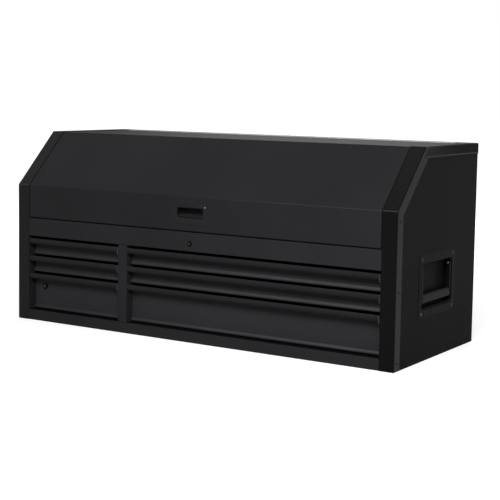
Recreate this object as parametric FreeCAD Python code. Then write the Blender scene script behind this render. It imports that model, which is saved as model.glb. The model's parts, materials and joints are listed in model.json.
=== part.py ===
import FreeCAD, Part
import math
import os

# Sheet-steel tool chest with a lift-up lid and two banks of drawers.
# Millimetres. Origin at the middle of the base, +Z up, front towards -Y, right towards +X.

# Overall size
width = 1422.0
depth = 569.0
height = 635.0
bend_z = 459.0
ridge_setback = 176.0

# Sheet gauges, bends and general clearances
case_sheet = 1.2
post_sheet = 1.5
tray_sheet = 1.0
bend_inside = 1.5
skin_gap = 0.3
running_gap = 0.05
overrun = 5.0
hexagon_sides = 6

# Corner posts and the rails along the top of the sides
post_face = 48.0
post_flange = 37.5
post_return = 14.0
post_foot = 3.0
post_corner = 2.5
top_band = 35.0

# Rear header and the lid's hinge
header_back_flange = 34.0
hinge_inset = 38.5
hinge_flange = 26.0
leaf_sheet = 1.4
leaf_height = 20.0
hinge_pin_radius = 1.8
hinge_length_margin = 12.0
knuckle_wall = 1.75
knuckle_count = 5
knuckle_end_gap = 0.4
knuckle_side_gap = 0.5

# Front rails, the mullion between the banks, and the till floor
lock_rail_bottom = 287.0
lock_rail_top = 347.0
rail_depth = 30.0
rail_return = 13.2
rail_foot = 20.0
narrow_bank = 382.0
mullion_width = 34.0
mullion_depth = 45.0
pan_flange = 20.0
jamb_step = 1.5

# Drawer rows: the middle of each gap between fronts, from the lowest up
base_gap_z = 41.0
deep_row = 125.0
shallow_row = 59.5
row_names = ("bottom", "middle", "top")

# Drawer fronts with a full-width pull
front_side_gap = 2.0
lip_drop = 5.0
lip_height = 18.0
lip_roll = 7.0
lip_hem = 10.0
panel_recess = 31.0
nose_fall = 8.0
front_gap = 4.0
foot_flange = 12.0
bead_height = 4.0
bead_rise = 8.0
bead_proud = 6.0
front_bend = 1.2
bead_bend = 2.5
cap_thickness = 3.0
cap_drop = 10.0
cap_chamfer = 6.0

# Drawer trays and ball-bearing slides
tray_back_gap = 42.0
tray_top_drop = 15.0
tray_hem = 5.0
slide_space = 13.0
slide_sheet = 1.2
slide_height = 36.0
slide_lift = 4.0
slide_outer_flange = 9.5
slide_inner_flange = 8.0
slide_race_gap = 0.4
slide_front_gap = 47.0
slide_length = 480.0
slide_inner_short = 8.0

# Lid
lid_side_gap = 2.5
lid_bottom_gap = 3.0
lid_foot_flange = 18.0
lid_end_flange = 38.0
lid_bend = 3.0

# Recessed handle in the lid's front
lid_pull_z = 402.0
lid_pull_width = 124.0
lid_pull_height = 60.0
lid_pull_corner = 6.0
lid_cup_width = 97.0
lid_cup_bottom_z = 391.0
lid_cup_top_z = 422.0
lid_cup_depth = 22.0
lid_cup_rise = 7.0
lid_cup_undercut = 6.0
cup_wall = 1.5

# Recessed handles in the sides
bezel_half_length = 130.0
bezel_bottom_z = 130.0
bezel_top_z = 318.0
bezel_corner = 8.0
bezel_sheet = 0.9
cup_half_length = 103.0
cup_bottom_z = 157.0
cup_top_z = 288.0
cup_depth = 28.0
screw_half_spacing = 110.0
screw_edge = 13.0
screw_head_radius = 4.5
screw_head_height = 0.6
screw_gap = 0.2
bail_pivot_z = 274.0
bail_grip_z = 185.0
bail_inset = 9.0
bail_arm = 14.0
bail_arm_thickness = 7.0
bail_arm_chamfer = 4.0
bail_side_gap = 0.4
bail_pin_radius = 4.0
bail_pin_tip = 1.5
grip_height = 27.0
grip_round = 6.5

# Locks
fascia_lock_x = 1.0
fascia_lock_z = 312.0
drawer_lock_inset = 47.0
drawer_lock_drop = 51.0
lock_flange_radius = 9.5
lock_flange = 1.5
drawer_lock_flange = 4.0
barrel_half = 6.4
barrel_length = 22.0
barrel_hole_gap = 0.2
plug_radius = 5.5
plug_tail = 1.0
drive_square = 5.0
cam_thickness = 2.0
cam_reach = 21.0
cam_tip_half = 4.5
cam_hub_half = 7.0
cam_chamfer = 4.0
key_slot_width = 1.6
key_slot_height = 7.0
key_slot_depth = 8.0

# Gas struts: both pivots lie at one distance from the hinge line
strut_radius = 227.0
strut_lid_drop = 22.0
strut_case_angle = 76.0
lid_swing = 80.0
strut_inset = 19.5
strut_tube_radius = 9.0
strut_rod_radius = 4.0
strut_bore_gap = 0.25
strut_tube_start = 7.5
strut_closed_gap = 36.0
strut_engage = 12.0
strut_bottom_gap = 4.0
strut_eye_half = 8.5
strut_eye_chamfer = 4.0
strut_eye_width = 9.0
stud_radius = 4.0
stud_head_radius = 6.5
stud_head = 2.0
stud_side_gap = 0.5

# Derived places
half_width = width / 2
front = -depth / 2
back = depth / 2
ridge_y = front + ridge_setback
face_y = front + post_sheet
back_inside = back - case_sheet
opening_edge = half_width - post_face
mullion_left = narrow_bank - opening_edge
mullion_right = mullion_left + mullion_width
wall_face = opening_edge + jamb_step
wall_back = wall_face + case_sheet
side_outer = half_width - post_sheet
side_inner = side_outer - case_sheet
top_under = height - post_sheet
rail_rear = face_y + rail_depth
floor_z = lock_rail_top - rail_return
knuckle_radius = hinge_pin_radius + knuckle_wall
hinge_y = back - hinge_inset
hinge_z = height - knuckle_radius - skin_gap
header_front = hinge_y + knuckle_radius
lid_rear = hinge_y - knuckle_radius
lid_half = opening_edge - lid_side_gap
lid_bottom = lock_rail_top + lid_bottom_gap
bottom_rail_top = base_gap_z - lip_drop
row_edges = (base_gap_z, base_gap_z + deep_row, base_gap_z + deep_row + shallow_row,
             base_gap_z + deep_row + 2 * shallow_row)
drawer_lock_x = drawer_lock_inset - opening_edge
drawer_lock_z = row_edges[1] - drawer_lock_drop
panel_y = face_y + panel_recess
panel_back = panel_y + tray_sheet
tray_back = back - tray_back_gap
slide_front = face_y + slide_front_gap
banks = {
    "left": {"opening": (-opening_edge, mullion_left), "walls": (-wall_face, mullion_left + case_sheet)},
    "right": {"opening": (mullion_right, opening_edge), "walls": (mullion_right - case_sheet, wall_face)},
}


# General shapes

def vec(plane, a, b, level):
    """Point a, b of a drawing plane at a level along the plane's normal."""
    spots = {"YZ": (level, a, b), "XZ": (a, level, b), "XY": (a, b, level)}
    return FreeCAD.Vector(*spots[plane])


def box(x, y, z):
    """Box between three pairs of limits."""
    low = [min(pair) for pair in (x, y, z)]
    size = [max(pair) - min(pair) for pair in (x, y, z)]
    return Part.makeBox(*size, FreeCAD.Vector(*low))


def extrude(plane, edges, low, high):
    """Solid between two levels from the edges of a closed outline."""
    face = Part.Face(Part.Wire(edges))
    return face.extrude(vec(plane, 0, 0, high) - vec(plane, 0, 0, low))


def plate(plane, outline, low, high):
    """Prism of a straight-sided outline between two levels."""
    corners = [vec(plane, a, b, low) for a, b in outline]
    return extrude(plane, Part.makePolygon(corners + corners[:1]).Edges, low, high)


def cylinder(start, direction, radius, length):
    return Part.makeCylinder(radius, length, FreeCAD.Vector(*start), FreeCAD.Vector(*direction))


def hexagon(x, y, z, radius):
    """Six-sided bar along X between two levels, with its corners at a radius."""
    turns = [math.radians(360 * i / hexagon_sides) for i in range(hexagon_sides)]
    corners = [(y + radius * math.cos(t), z + radius * math.sin(t)) for t in turns]
    return plate("YZ", corners, *x)


def fuse(shapes):
    return shapes[0].multiFuse(shapes[1:]).removeSplitter()


def mirrored(shape):
    """The same piece on the other side of the chest."""
    return shape.mirror(FreeCAD.Vector(0, 0, 0), FreeCAD.Vector(1, 0, 0))


def sideways(path, distance):
    """An open path moved to its right by a distance, with mitred corners."""
    turns = []
    for (a0, b0), (a1, b1) in zip(path, path[1:]):
        run = math.hypot(a1 - a0, b1 - b0)
        turns.append(((b1 - b0) / run, (a0 - a1) / run))
    moved = []
    for i, (a, b) in enumerate(path):
        before = turns[max(i - 1, 0)]
        after = turns[min(i, len(turns) - 1)]
        share = distance / (1 + before[0] * after[0] + before[1] * after[1])
        moved.append((a + share * (before[0] + after[0]), b + share * (before[1] + after[1])))
    return moved


def rounded_edges(plane, path, level, radii):
    """Lines of an open path with an arc at each inner corner, or none where its radius is zero."""
    edges = []
    start = vec(plane, *path[0], level)
    for i in range(1, len(path) - 1):
        corner = vec(plane, *path[i], level)
        into = (corner - vec(plane, *path[i - 1], level)).normalize()
        out = (vec(plane, *path[i + 1], level) - corner).normalize()
        if not radii[i - 1]:
            edges.append(Part.LineSegment(start, corner).toShape())
            start = corner
            continue
        half_turn = into.getAngle(out) / 2
        reach = radii[i - 1] * math.tan(half_turn)
        first = corner - into * reach
        last = corner + out * reach
        middle_way = (out - into).normalize()
        middle = corner + middle_way * (radii[i - 1] / math.cos(half_turn) - radii[i - 1])
        edges.append(Part.LineSegment(start, first).toShape())
        edges.append(Part.Arc(first, middle, last).toShape())
        start = last
    edges.append(Part.LineSegment(start, vec(plane, *path[-1], level)).toShape())
    return edges


def folded(plane, path, sheet, bends, low, high):
    """Folded sheet with one face along a path, the metal to its right and an inside radius at each corner."""
    inner_path = sideways(path, sheet)
    near = []
    far = []
    for i, inside in enumerate(bends):
        (a0, b0), (a1, b1), (a2, b2) = path[i:i + 3]
        turns_left = (a1 - a0) * (b2 - b1) - (b1 - b0) * (a2 - a1) > 0
        near.append(inside if turns_left else inside + sheet)
        far.append(inside + sheet if turns_left else inside)
    edges = rounded_edges(plane, path, low, near)
    edges.append(Part.LineSegment(vec(plane, *path[-1], low), vec(plane, *inner_path[-1], low)).toShape())
    edges += rounded_edges(plane, inner_path[::-1], low, far[::-1])
    edges.append(Part.LineSegment(vec(plane, *inner_path[0], low), vec(plane, *path[0], low)).toShape())
    return extrude(plane, edges, low, high)


def rounded_plate(plane, a, b, radius, low, high):
    """Rectangle with round corners between two levels."""
    corners = [(a[0], b[0]), (a[0], b[1]), (a[1], b[1]), (a[1], b[0])]
    middle = ((a[0] + a[1]) / 2, b[0])
    path = [middle] + corners + [middle]
    return extrude(plane, rounded_edges(plane, path, low, [radius] * len(corners)), low, high)


# Lines of the chest's side view, as (y, z)

outline = [(front, post_foot), (front, bend_z), (ridge_y, height), (back, height)]
under_post = sideways(outline, post_sheet)
under_return = sideways(outline, post_return)
under_flange = sideways(outline, post_flange)
slope_run_per_rise = (ridge_y - front) / (height - bend_z)


def slope_line_y(z):
    """Rear edge of the post's side flange along the slope."""
    return under_flange[1][0] + (z - under_flange[1][1]) * slope_run_per_rise


# Case

def bottom_panel():
    """Floor pan with upturned flanges at the sides and the back."""
    y = (face_y + rail_foot, back_inside)
    pan = [box((-side_inner, side_inner), y, (0, case_sheet))]
    for side in (-1, 1):
        lip_x = (side * (side_inner - case_sheet), side * side_inner)
        pan.append(box(lip_x, (face_y, back_inside), (0, pan_flange)))
        pan.append(box((side * wall_face, side * side_inner), (face_y, y[0]), (0, case_sheet)))
    rear_y = (back_inside - 2 * case_sheet, back_inside - case_sheet)
    pan.append(box((-wall_face, wall_face), rear_y, (0, pan_flange)))
    return fuse(pan)


def back_panel():
    y = (back_inside - case_sheet, back_inside)
    return box((-wall_face, wall_face), y, (case_sheet, height - case_sheet - bend_inside))


def side_panel():
    """Right side sheet with its back flange and the hole for the handle cup."""
    shape = [(face_y, 0), under_post[1], under_post[2], (back, top_under), (back, 0)]
    sheet = plate("YZ", shape, side_inner, side_outer)
    flange = box((wall_back, side_outer), (back_inside, back), (0, top_under))
    hole_y = (-cup_half_length - cup_wall - screw_gap, cup_half_length + cup_wall + screw_gap)
    hole_z = (cup_bottom_z - cup_wall - screw_gap, cup_top_z + cup_wall + screw_gap)
    hole = box((side_inner - overrun, side_outer + overrun), hole_y, hole_z)
    return fuse([sheet, flange]).cut(hole)


def inner_wall():
    """Right inner side sheet, which carries the slides and the gas strut."""
    shape = [(face_y, case_sheet), under_post[1], under_post[2], (back_inside, top_under),
             (back_inside, case_sheet)]
    return plate("YZ", shape, wall_face, wall_back)


def corner_post():
    """Right corner post: front face, side flange and the return beside the lid."""
    top_end = [outline[2], under_post[2]]
    face = plate("YZ", outline[:2] + top_end + [under_post[1], under_post[0]], opening_edge, half_width)
    flange_top = (slope_line_y(top_under), top_under)
    flange_shape = outline[:2] + top_end + [flange_top, under_flange[1], under_flange[0]]
    flange = plate("YZ", flange_shape, side_outer, half_width)
    return_low = [(under_return[0][0], lid_bottom), (under_post[0][0], lid_bottom)]
    return_shape = return_low + [under_post[1], under_post[2], under_return[2], under_return[1]]
    turned = plate("YZ", return_shape, opening_edge, opening_edge + post_sheet)
    post = fuse([face, flange, turned])
    corner = [e for e in post.Edges if lies_on_corner(e)]
    return post.makeFillet(post_corner, corner)


def lies_on_corner(edge):
    """Whether an edge is on the outer corner line of the right post."""
    box_of = edge.BoundBox
    centre = edge.CenterOfMass
    on_side = box_of.XMin > half_width - skin_gap
    in_front = abs(centre.y - front) < skin_gap and box_of.ZLength > post_sheet
    slope_y = front + (centre.z - bend_z) * slope_run_per_rise
    on_slope = abs(centre.y - slope_y) < skin_gap and centre.z > bend_z and box_of.ZLength > post_sheet
    return on_side and (in_front or on_slope)


def top_rail():
    """Right top rail: side band, top flange and the return beside the lid."""
    flange = plate("YZ", [outline[2], outline[3], (back, top_under), under_post[2]],
                   opening_edge, half_width)
    band_z = height - top_band
    band = plate("YZ", [(slope_line_y(top_under), top_under), (back, top_under), (back, band_z),
                        (slope_line_y(band_z), band_z)], side_outer, half_width)
    end_y = back_inside - case_sheet
    turned = plate("YZ", [under_post[2], (end_y, top_under), (end_y, under_return[2][1]), under_return[2]],
                   opening_edge, opening_edge + post_sheet)
    return fuse([flange, band, turned])


def rear_header():
    """Channel across the back, whose front flange carries the hinge."""
    path = [(header_front, height - hinge_flange), (header_front, height), (back, height),
            (back, height - header_back_flange)]
    return folded("YZ", path, case_sheet, [bend_inside] * 2, -opening_edge, opening_edge)


def till_floor():
    y = (rail_rear, back_inside - case_sheet)
    return box((-wall_face, wall_face), y, (floor_z - case_sheet, floor_z))


def lock_rail():
    """Rail between the lid and the drawers, with the key lock's hole."""
    path = [(rail_rear, lock_rail_bottom), (face_y, lock_rail_bottom), (face_y, lock_rail_top),
            (rail_rear, lock_rail_top), (rail_rear, floor_z - case_sheet)]
    rail = folded("YZ", path, case_sheet, [bend_inside] * 3, -wall_face, wall_face)
    return rail.cut(lock_hole(fascia_lock_x, fascia_lock_z, face_y))


def bottom_rail():
    path = [(face_y + rail_foot, 0), (face_y, 0), (face_y, bottom_rail_top), (rail_rear, bottom_rail_top)]
    return folded("YZ", path, case_sheet, [bend_inside] * 2, -wall_face, wall_face)


def mullion():
    """Upright channel between the two banks of drawers."""
    path = [(mullion_right, face_y + mullion_depth), (mullion_right, face_y), (mullion_left, face_y),
            (mullion_left, face_y + mullion_depth)]
    return folded("XY", path, case_sheet, [bend_inside] * 2, bottom_rail_top, lock_rail_bottom)


def partition():
    """The pair of walls behind the mullion that carry the inner slides."""
    walls = []
    for x in ((mullion_left + case_sheet, mullion_left + 2 * case_sheet),
              (mullion_right - 2 * case_sheet, mullion_right - case_sheet)):
        walls.append(box(x, (rail_rear, back_inside - 2 * case_sheet), (case_sheet, floor_z - case_sheet)))
    return Part.makeCompound(walls)


# Hinge

def knuckle_spans():
    """Start and length of each knuckle along the hinge, with even numbers on the case."""
    length = 2 * (lid_half - hinge_length_margin)
    pitch = length / knuckle_count
    first = (knuckle_end_gap - length) / 2
    return [(first + i * pitch, pitch - knuckle_end_gap) for i in range(knuckle_count)]


def hinge_leaf(own, y):
    """One leaf: a strip with its own knuckles, cut clear of the other leaf's."""
    spans = knuckle_spans()
    half = -spans[0][0]
    leaf = box((-half, half), y, (hinge_z - leaf_height, hinge_z))
    axis = (1, 0, 0)
    notch_z = (hinge_z - knuckle_radius - knuckle_side_gap, hinge_z + overrun)
    for i, (start, length) in enumerate(spans):
        if i % 2 != own:
            notch_x = (start - knuckle_end_gap, start + length + knuckle_end_gap)
            leaf = leaf.cut(box(notch_x, (y[0] - overrun, y[1] + overrun), notch_z))
    knuckles = [cylinder((start, hinge_y, hinge_z), axis, knuckle_radius, length)
                for i, (start, length) in enumerate(spans) if i % 2 == own]
    leaf = fuse([leaf] + knuckles)
    return leaf.cut(cylinder((-half - overrun, hinge_y, hinge_z), axis, hinge_pin_radius + running_gap,
                             2 * (half + overrun)))


def hinge_case_leaf():
    return hinge_leaf(0, (header_front - leaf_sheet, header_front))


def hinge_lid_leaf():
    return hinge_leaf(1, (lid_rear, lid_rear + leaf_sheet))


def hinge_pin():
    start = knuckle_spans()[0][0]
    return cylinder((start, hinge_y, hinge_z), (1, 0, 0), hinge_pin_radius, -2 * start)


# Lid

def lid_shell():
    """Lid folded from one sheet, with end flanges and the hole for its handle."""
    skin = sideways(outline, post_sheet)
    bottom = [(face_y + lid_foot_flange, lid_bottom), (face_y, lid_bottom)]
    rear = [(lid_rear, top_under), (lid_rear, top_under - hinge_flange)]
    path = bottom + skin[1:3] + rear
    shell = [folded("YZ", path, case_sheet, [lid_bend] * 4, -lid_half, lid_half)]
    inner = sideways([(face_y, lid_bottom)] + skin[1:3] + [rear[0]], case_sheet)
    deep = sideways([(face_y, lid_bottom)] + skin[1:3] + [rear[0]], lid_end_flange)
    start = [(deep[0][0], lid_bottom + case_sheet), (inner[0][0], lid_bottom + case_sheet)]
    end = [(lid_rear - case_sheet, inner[3][1]), (lid_rear - case_sheet, deep[3][1])]
    shape = start + inner[1:3] + end + [deep[2], deep[1]]
    for side in (-1, 1):
        shell.append(plate("YZ", shape, side * lid_half, side * (lid_half - case_sheet)))
    lid = fuse(shell)
    hole_x = (-lid_cup_width / 2 - cup_wall - screw_gap, lid_cup_width / 2 + cup_wall + screw_gap)
    hole_z = (lid_cup_bottom_z - cup_wall - screw_gap, lid_cup_top_z + cup_wall + screw_gap)
    return lid.cut(box(hole_x, (face_y - overrun, face_y + lid_foot_flange), hole_z))


def lid_pull():
    """Bezel and pocket of the lid's handle, with a sloping floor and an undercut roof."""
    bezel_z = (lid_pull_z - lid_pull_height / 2, lid_pull_z + lid_pull_height / 2)
    bezel_x = (-lid_pull_width / 2, lid_pull_width / 2)
    bezel = rounded_plate("XZ", bezel_x, bezel_z, lid_pull_corner, front, face_y)
    back_y = face_y + lid_cup_depth
    roof = [(face_y + lid_cup_undercut, lid_cup_top_z), (back_y, lid_cup_top_z + lid_cup_undercut)]
    floor = [(back_y, lid_cup_bottom_z + lid_cup_rise), (face_y, lid_cup_bottom_z)]
    pocket = [(front - overrun, lid_cup_top_z)] + roof + floor + [(front - overrun, lid_cup_bottom_z)]
    body_roof = [(face_y, lid_cup_top_z + cup_wall), (face_y + lid_cup_undercut, lid_cup_top_z + cup_wall),
                 (back_y + cup_wall, lid_cup_top_z + lid_cup_undercut + cup_wall)]
    body_floor = [(back_y + cup_wall, lid_cup_bottom_z + lid_cup_rise - cup_wall),
                  (face_y, lid_cup_bottom_z - cup_wall)]
    half = lid_cup_width / 2
    body = plate("YZ", body_roof + body_floor, -half - cup_wall, half + cup_wall)
    return fuse([bezel, body]).cut(plate("YZ", pocket, -half, half))


# Side handles

def screw_places():
    """Centres (y, z) of the four screws of a side handle."""
    low = bezel_bottom_z + screw_edge
    high = bezel_top_z - screw_edge
    return [(y, z) for y in (-screw_half_spacing, screw_half_spacing) for z in (low, high)]


def handle_cup():
    """Right handle cup: bezel, pocket and the bail's fixed pins."""
    bezel_face = side_outer + bezel_sheet
    bezel = rounded_plate("YZ", (-bezel_half_length, bezel_half_length), (bezel_bottom_z, bezel_top_z),
                          bezel_corner, side_outer, bezel_face)
    bottom_x = bezel_face - cup_depth
    shell_y = (-cup_half_length - cup_wall, cup_half_length + cup_wall)
    shell = box((bottom_x, side_outer), shell_y, (cup_bottom_z - cup_wall, cup_top_z + cup_wall))
    pocket = box((bottom_x + cup_wall, bezel_face + overrun), (-cup_half_length, cup_half_length),
                 (cup_bottom_z, cup_top_z))
    cup = fuse([bezel, shell]).cut(pocket)
    pins = []
    pin_length = cup_wall / 2 + bail_side_gap + bail_arm_thickness + bail_pin_tip
    for side in (-1, 1):
        start = (bail_x, side * (cup_half_length + cup_wall / 2), bail_pivot_z)
        pins.append(cylinder(start, (0, -side, 0), bail_pin_radius, pin_length))
    return fuse([cup] + pins)


bail_x = side_outer + bezel_sheet - bail_inset
bail_arm_outer = cup_half_length - bail_side_gap


def side_bail():
    """Right drop handle: two arms on the pivots and a rounded grip between them."""
    x = (bail_x - bail_arm / 2, bail_x + bail_arm / 2)
    pieces = []
    for side in (-1, 1):
        y = (side * (bail_arm_outer - bail_arm_thickness), side * bail_arm_outer)
        top_z = bail_pivot_z + bail_arm / 2
        low_z = top_z - bail_arm_chamfer
        arm = [(x[0], bail_grip_z), (x[0], low_z), (x[0] + bail_arm_chamfer, top_z),
               (x[1] - bail_arm_chamfer, top_z), (x[1], low_z), (x[1], bail_grip_z)]
        pieces.append(plate("XZ", arm, *y))
    grip_z = (bail_grip_z - grip_height / 2, bail_grip_z + grip_height / 2)
    pieces.append(rounded_plate("XZ", x, grip_z, grip_round, -bail_arm_outer, bail_arm_outer))
    bail = fuse(pieces)
    bore = cylinder((bail_x, -bail_arm_outer - overrun, bail_pivot_z), (0, 1, 0),
                    bail_pin_radius + running_gap, 2 * (bail_arm_outer + overrun))
    return bail.cut(bore)


def handle_screws():
    """Hexagon heads of the screws of both side handles."""
    face = side_outer + bezel_sheet
    screws = []
    for y, z in screw_places():
        screw = hexagon((face, face + screw_head_height), y, z, screw_head_radius)
        screws += [screw, mirrored(screw)]
    return Part.makeCompound(screws)


# Locks

def lock_hole(x, z, y):
    """Square hole for a lock barrel through sheets at and behind y."""
    half = barrel_half + barrel_hole_gap
    return box((x - half, x + half), (y - overrun, y + overrun), (z - half, z + half))


def lock_barrel(x, z, y, flange):
    """Fixed barrel of a lock seated on the face at y, with a square body that cannot turn in its hole."""
    start = (x, y - flange, z)
    rim = cylinder(start, (0, 1, 0), lock_flange_radius, flange)
    sides = (-barrel_half, barrel_half)
    body = box([x + a for a in sides], (y, y + barrel_length), [z + a for a in sides])
    bore = cylinder((x, y - flange - overrun, z), (0, 1, 0), plug_radius + running_gap,
                    flange + barrel_length + 2 * overrun)
    return fuse([rim, body]).cut(bore)


def lock_plug(x, z, y, flange):
    """Turning plug with its key slot and a square tail for the cam."""
    start = (x, y - flange, z)
    plug = cylinder(start, (0, 1, 0), plug_radius, flange + barrel_length + plug_tail)
    slot_x = (x - key_slot_width / 2, x + key_slot_width / 2)
    slot_z = (z - key_slot_height / 2, z + key_slot_height / 2)
    slot = box(slot_x, (y - flange - overrun, y - flange + key_slot_depth), slot_z)
    tail_y = y + barrel_length + plug_tail
    half = drive_square / 2
    tail = box((x - half, x + half), (tail_y, tail_y + cam_thickness), (z - half, z + half))
    return fuse([plug, tail]).cut(slot)


def lock_cam(x, z, y):
    """Flat stamped cam that hangs from the plug's tail."""
    low = y + barrel_length + plug_tail
    side = [(cam_hub_half, cam_chamfer), (cam_hub_half, -cam_chamfer), (cam_tip_half, -cam_reach)]
    top = (cam_chamfer, cam_hub_half)
    right = [top] + side
    left = [(-a, b) for a, b in right[::-1]]
    cam = plate("XZ", [(x + a, z + b) for a, b in right + left], low, low + cam_thickness)
    half = drive_square / 2
    square = box((x - half, x + half), (low - overrun, low + overrun), (z - half, z + half))
    return cam.cut(square)


# Gas struts

strut_x = opening_edge + jamb_step - strut_inset
lid_pivot_y = hinge_y - math.sqrt(strut_radius ** 2 - strut_lid_drop ** 2)
lid_pivot_z = hinge_z - strut_lid_drop
case_pivot_y = hinge_y - strut_radius * math.cos(math.radians(strut_case_angle))
case_pivot_z = hinge_z - strut_radius * math.sin(math.radians(strut_case_angle))
strut_closed = math.hypot(lid_pivot_y - case_pivot_y, lid_pivot_z - case_pivot_z)
lid_pivot_angle = math.degrees(math.asin(strut_lid_drop / strut_radius))
strut_open = 2 * strut_radius * math.sin(math.radians(strut_case_angle - lid_pivot_angle + lid_swing) / 2)
strut_mouth = strut_closed - strut_closed_gap
strut_rod_reach = strut_open - strut_mouth + strut_engage
strut_way = (0, (lid_pivot_y - case_pivot_y) / strut_closed, (lid_pivot_z - case_pivot_z) / strut_closed)


def along_strut(distance):
    """Point on the right strut's axis at a distance from its case pivot."""
    return (strut_x, case_pivot_y + distance * strut_way[1], case_pivot_z + distance * strut_way[2])


def strut_eye(y, z):
    """Flat block of a strut's end fitting, in line with the strut, without its hole."""
    a = strut_eye_half
    b = strut_eye_half - strut_eye_chamfer
    _, along_y, along_z = strut_way
    corners = [(a, -b), (a, b), (b, a), (-b, a), (-a, b), (-a, -b), (-b, -a), (b, -a)]
    shape = [(y + u * along_y - v * along_z, z + u * along_z + v * along_y) for u, v in corners]
    return plate("YZ", shape, strut_x - strut_eye_width / 2, strut_x + strut_eye_width / 2)


def strut_hole(y, z):
    start = (strut_x - strut_eye_width, y, z)
    return cylinder(start, (1, 0, 0), stud_radius + running_gap, 2 * strut_eye_width)


def strut_cylinder():
    """Pressure tube of the right strut with its eye on the case's stud."""
    bore_start = strut_closed - strut_rod_reach - strut_bottom_gap
    tube_length = strut_mouth - strut_tube_start
    body = cylinder(along_strut(strut_tube_start), strut_way, strut_tube_radius, tube_length)
    solid = fuse([body, strut_eye(case_pivot_y, case_pivot_z)])
    bore = cylinder(along_strut(bore_start), strut_way, strut_rod_radius + strut_bore_gap,
                    strut_mouth + overrun - bore_start)
    return solid.cut(bore).cut(strut_hole(case_pivot_y, case_pivot_z))


def strut_rod():
    """Piston rod of the right strut with its eye on the lid's stud."""
    rod_length = strut_rod_reach - (strut_eye_half + stud_radius) / 2
    rod = cylinder(along_strut(strut_closed - strut_rod_reach), strut_way, strut_rod_radius, rod_length)
    solid = fuse([rod, strut_eye(lid_pivot_y, lid_pivot_z)])
    return solid.cut(strut_hole(lid_pivot_y, lid_pivot_z))


def pivot_stud(x_base, y, z):
    """Shoulder bolt from a plate at x_base inwards through an eye, with a hexagon head that keeps it on."""
    inner = strut_x - strut_eye_width / 2 - stud_side_gap
    pin = cylinder((x_base, y, z), (-1, 0, 0), stud_radius, x_base - inner)
    head = hexagon((inner - stud_head, inner), y, z, stud_head_radius)
    return fuse([pin, head])


# Drawers

def drawer_front(bank, row):
    """Front folded from one sheet: hemmed lip, sloping nose, recessed panel and rolled foot."""
    x0 = banks[bank]["opening"][0] + front_side_gap
    x1 = banks[bank]["opening"][1] - front_side_gap
    lip_top = row_edges[row + 1] - lip_drop
    foot = row_edges[row] - lip_drop + front_gap
    nose_rear = lip_top - nose_fall
    bead_top = foot + bead_height + bead_rise
    path = [(face_y + lip_hem, lip_top - lip_height), (face_y, lip_top - lip_height), (face_y, lip_top),
            (panel_back, nose_rear), (panel_back, bead_top), (panel_back - bead_proud, foot + bead_height),
            (panel_back - bead_proud, foot + tray_sheet), (panel_back + foot_flange, foot + tray_sheet)]
    bends = [lip_roll, front_bend, 0, bead_bend, 0, 0]
    pieces = [folded("YZ", path, tray_sheet, bends, x0, x1)]
    for end, way in ((x0, 1), (x1, -1)):
        pieces.append(pull_end(end, way, lip_top, nose_rear))
    return fuse(pieces)


def pull_end(end, way, lip_top, nose_rear):
    """Plate that closes the pull at one end, with its corner below the lip cut off."""
    low = lip_top - lip_height - cap_drop
    start = (face_y + front_bend, lip_top - tray_sheet)
    rear_low = (panel_y + tray_sheet / 2, low)
    rear_top = (rear_low[0], nose_rear - tray_sheet / 2)
    corner = [(start[0], low + cap_chamfer), (start[0] + cap_chamfer, low)]
    return plate("YZ", [start] + corner + [rear_low, rear_top], end, end + way * cap_thickness)


def drawer_tray(bank, row):
    """Folded tray with hemmed walls, closed behind the front."""
    x = (banks[bank]["walls"][0] + slide_space, banks[bank]["walls"][1] - slide_space)
    y = (panel_back, tray_back)
    z = (row_edges[row] - lip_drop + front_gap + tray_sheet, row_edges[row + 1] - tray_top_drop)
    outer = box(x, y, z)
    hem_z = (z[0] + tray_sheet, z[1] - 2 * tray_sheet)
    inner = box((x[0] + tray_sheet, x[1] - tray_sheet), (y[0] + tray_sheet, y[1] - tray_sheet), hem_z)
    mouth = box((x[0] + tray_hem, x[1] - tray_hem), (y[0] + tray_hem, y[1] - tray_hem),
                (z[0] + tray_hem, z[1] + overrun))
    tray = outer.cut(inner).cut(mouth)
    if (bank, row) == ("left", 0):
        tray = tray.cut(lock_hole(drawer_lock_x, drawer_lock_z, panel_y))
    return tray


def slide_centre(row):
    return row_edges[row] + slide_lift + slide_height / 2


def channel(x_web, way, flange, half, y, z):
    """Channel section along Y with its web at x_web and its flanges towards way."""
    tip = x_web + way * flange
    face = x_web + way * slide_sheet
    low = z - half
    high = z + half
    bottom = [(x_web, low), (tip, low), (tip, low + slide_sheet), (face, low + slide_sheet)]
    top = [(face, high - slide_sheet), (tip, high - slide_sheet), (tip, high), (x_web, high)]
    return plate("XZ", bottom + top, *y)


def slide_outer_members():
    """Fixed channels of all the slides, on the walls of each bank."""
    members = []
    y = (slide_front, slide_front + slide_length)
    half = slide_height / 2
    for bank in banks:
        for row in range(len(row_names)):
            for wall, way in zip(banks[bank]["walls"], (1, -1)):
                members.append(channel(wall, way, slide_outer_flange, half, y, slide_centre(row)))
    return Part.makeCompound(members)


def drawer_slides(bank, row):
    """The two inner channels that ride with one drawer."""
    members = []
    y = (slide_front, slide_front + slide_length - slide_inner_short)
    half = slide_height / 2 - slide_sheet - slide_race_gap
    for wall, way in zip(banks[bank]["walls"], (1, -1)):
        web = wall + way * slide_space
        members.append(channel(web, -way, slide_inner_flange, half, y, slide_centre(row)))
    return Part.makeCompound(members)


# Output

def save(node, shape):
    shape.exportStep("parts/" + node + ".step")


def save_pair(node, shape):
    """A right-hand piece and its mirror image."""
    save(node + "_right", shape)
    save(node + "_left", mirrored(shape))


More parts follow.
